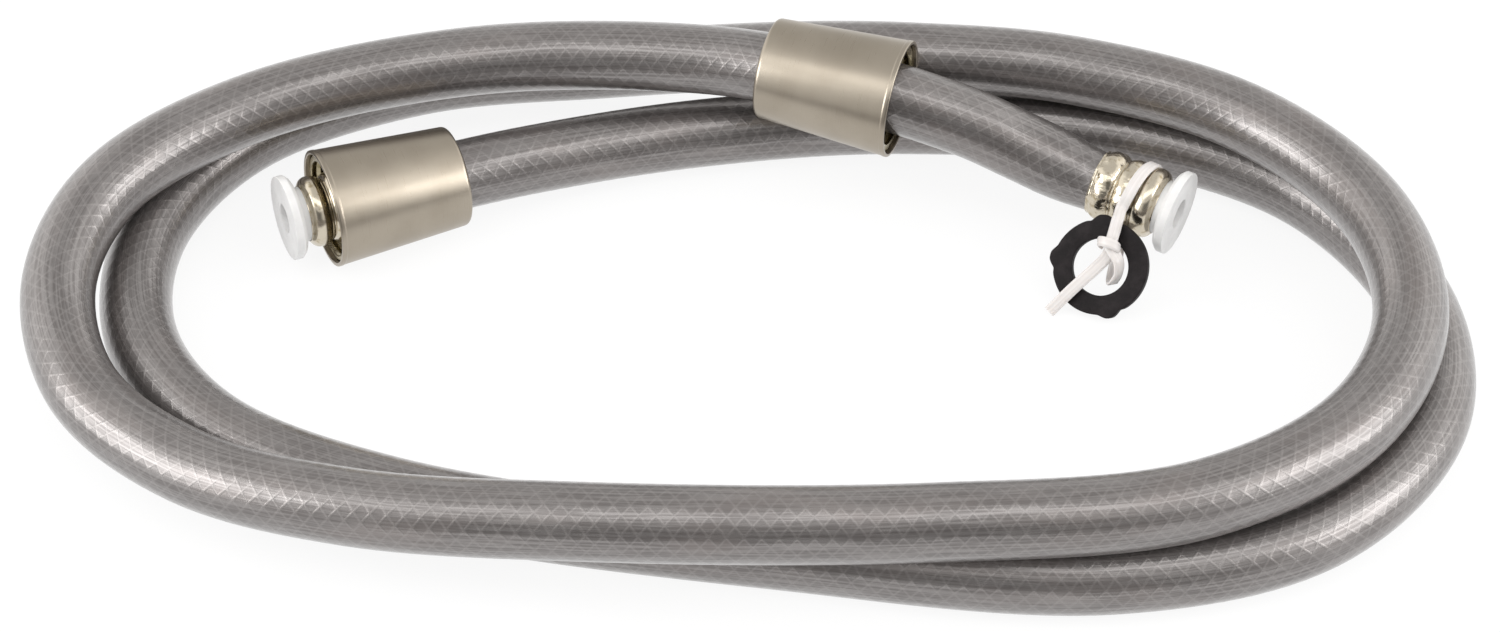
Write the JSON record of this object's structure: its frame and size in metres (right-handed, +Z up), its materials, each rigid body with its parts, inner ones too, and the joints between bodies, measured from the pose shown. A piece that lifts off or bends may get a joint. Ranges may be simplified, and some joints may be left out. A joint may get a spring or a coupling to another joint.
{
  "type": "braided supply line",
  "caption": "Flexible silver braided water supply hose lying in loose loops, with crimped ferrules, flanged inserts, conical swivel nuts on its ends and a rubber washer tied on.",
  "frame": {"origin": "centre of the bounding box, on the surface that the hose lies on", "axes": "+X along the long side of the loops, from the end with the nut in place towards the end with the washer; +Y towards the back; +Z up"},
  "size_m": [0.2747, 0.1516, 0.0378],
  "materials": {
    "clear_vinyl": "clear vinyl jacket over silver film and braid",
    "silver_braid": "silver film strands with a textile braid",
    "white_liner": "matt inner tube",
    "nickel": "polished warm nickel plate",
    "satin_nickel": "satin nickel plate brushed round the nut",
    "plated_brass": "machined brass with thin nickel plate",
    "white_nylon": "moulded nylon",
    "acetal": "turned acetal",
    "black_rubber": "moulded rubber",
    "tie_plastic": "translucent white plastic strap"
  },
  "bodies": {
    "hose": {"hose_jacket": "clear_vinyl", "hose_braid": "silver_braid", "hose_liner": "white_liner", "insert_a": "white_nylon", "ferrule_a": "nickel", "insert_b": "white_nylon", "ferrule_b": "nickel", "tie": "tie_plastic"},
    "slip_a": {"slip_ring_a": "acetal"},
    "nut_a": {"nut_a_shell": "satin_nickel", "nut_a_core": "plated_brass"},
    "slip_b": {"slip_ring_b": "acetal"},
    "nut_b": {"nut_b_shell": "satin_nickel", "nut_b_core": "plated_brass"},
    "washer": {"washer": "black_rubber"}
  },
  "joints": [
    {"name": "nut_a_slide", "type": "slide", "parent": "hose", "child": "slip_a", "axis": [-0.9038, -0.4224, 0.0681], "range_m": [-0.003, 0.0153]},
    {"name": "nut_a_spin", "type": "hinge", "parent": "slip_a", "child": "nut_a", "pos_m": [-0.0916, 0.0171, 0.0128], "axis": [-0.9038, -0.4224, 0.0681], "continuous": true},
    {"name": "nut_b_slide", "type": "slide", "parent": "hose", "child": "slip_b", "axis": [0.9456, -0.3247, -0.0214], "range_m": [-0.003, 0.001]},
    {"name": "nut_b_spin", "type": "hinge", "parent": "slip_b", "child": "nut_b", "pos_m": [0.0305, 0.0378, 0.0259], "axis": [0.9456, -0.3247, -0.0214], "continuous": true},
    {"name": "washer_turn", "type": "hinge", "parent": "hose", "child": "washer", "pos_m": [0.0694, 0.0084, 0.00795], "axis": [-0.3422, -0.6584, 0.6704], "range_deg": [-60, 18]}
  ]
}
